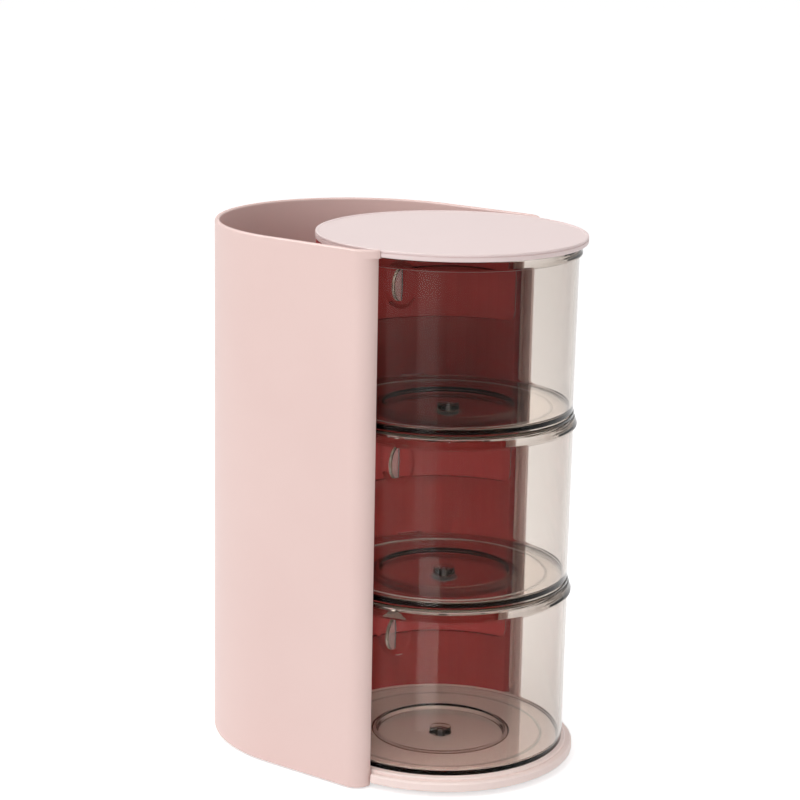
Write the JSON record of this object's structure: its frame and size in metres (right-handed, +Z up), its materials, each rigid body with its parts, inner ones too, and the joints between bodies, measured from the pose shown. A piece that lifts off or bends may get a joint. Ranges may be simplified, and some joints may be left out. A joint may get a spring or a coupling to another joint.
{
  "type": "rotating storage box",
  "caption": "Tall pink vanity box: an open comb compartment beside a stack of round smoky trays that turn about one upright axis under a flat lid.",
  "frame": {"origin": "middle of the footprint, on the face the feet stand on", "axes": "+Z up; +X from the comb compartment towards the trays; -Y towards the casing's long front wall, on the side of the tray pulls"},
  "size_m": [0.1984, 0.1488, 0.2705],
  "materials": {
    "pink_plastic": "satin pale pink moulding",
    "lid_plastic": "satin, paler pink moulding",
    "wine_plastic": "deep wine red moulding",
    "smoky_plastic": "clear smoky moulding",
    "glide_plastic": "low friction plastic ring",
    "steel": "plain steel",
    "rubber": "matt dark rubber"
  },
  "bodies": {
    "housing": {"housing_shell": "pink_plastic", "inner_partition": "wine_plastic", "base_plate": "pink_plastic", "top_lid": "lid_plastic", "shelf_middle": "smoky_plastic", "shelf_upper": "smoky_plastic", "glide_ring_lower": "glide_plastic", "glide_ring_middle": "glide_plastic", "glide_ring_upper": "glide_plastic", "housing_screw_left": "steel", "housing_screw_front": "steel", "housing_screw_rear": "steel", "partition_screw_rear": "steel", "partition_screw_middle": "steel", "partition_screw_front": "steel", "foot_front_right": "rubber", "foot_rear_right": "rubber", "foot_front_left": "rubber", "foot_rear_left": "rubber"},
    "turning_tray_lower": {"tray_lower": "smoky_plastic", "pivot_washer_lower": "steel", "pivot_screw_lower": "steel"},
    "turning_tray_middle": {"tray_middle": "smoky_plastic", "pivot_washer_middle": "steel", "pivot_screw_middle": "steel"},
    "turning_tray_upper": {"tray_upper": "smoky_plastic", "pivot_washer_upper": "steel", "pivot_screw_upper": "steel"}
  },
  "joints": [
    {"name": "turn_lower", "type": "hinge", "parent": "housing", "child": "turning_tray_lower", "pos_m": [0.0312, 0, 0.0096], "axis": [0, 0, 1], "range_deg": [0, 157]},
    {"name": "turn_middle", "type": "hinge", "parent": "housing", "child": "turning_tray_middle", "pos_m": [0.0312, 0, 0.096], "axis": [0, 0, 1], "range_deg": [0, 157]},
    {"name": "turn_upper", "type": "hinge", "parent": "housing", "child": "turning_tray_upper", "pos_m": [0.0312, 0, 0.1824], "axis": [0, 0, 1], "range_deg": [0, 157]}
  ]
}
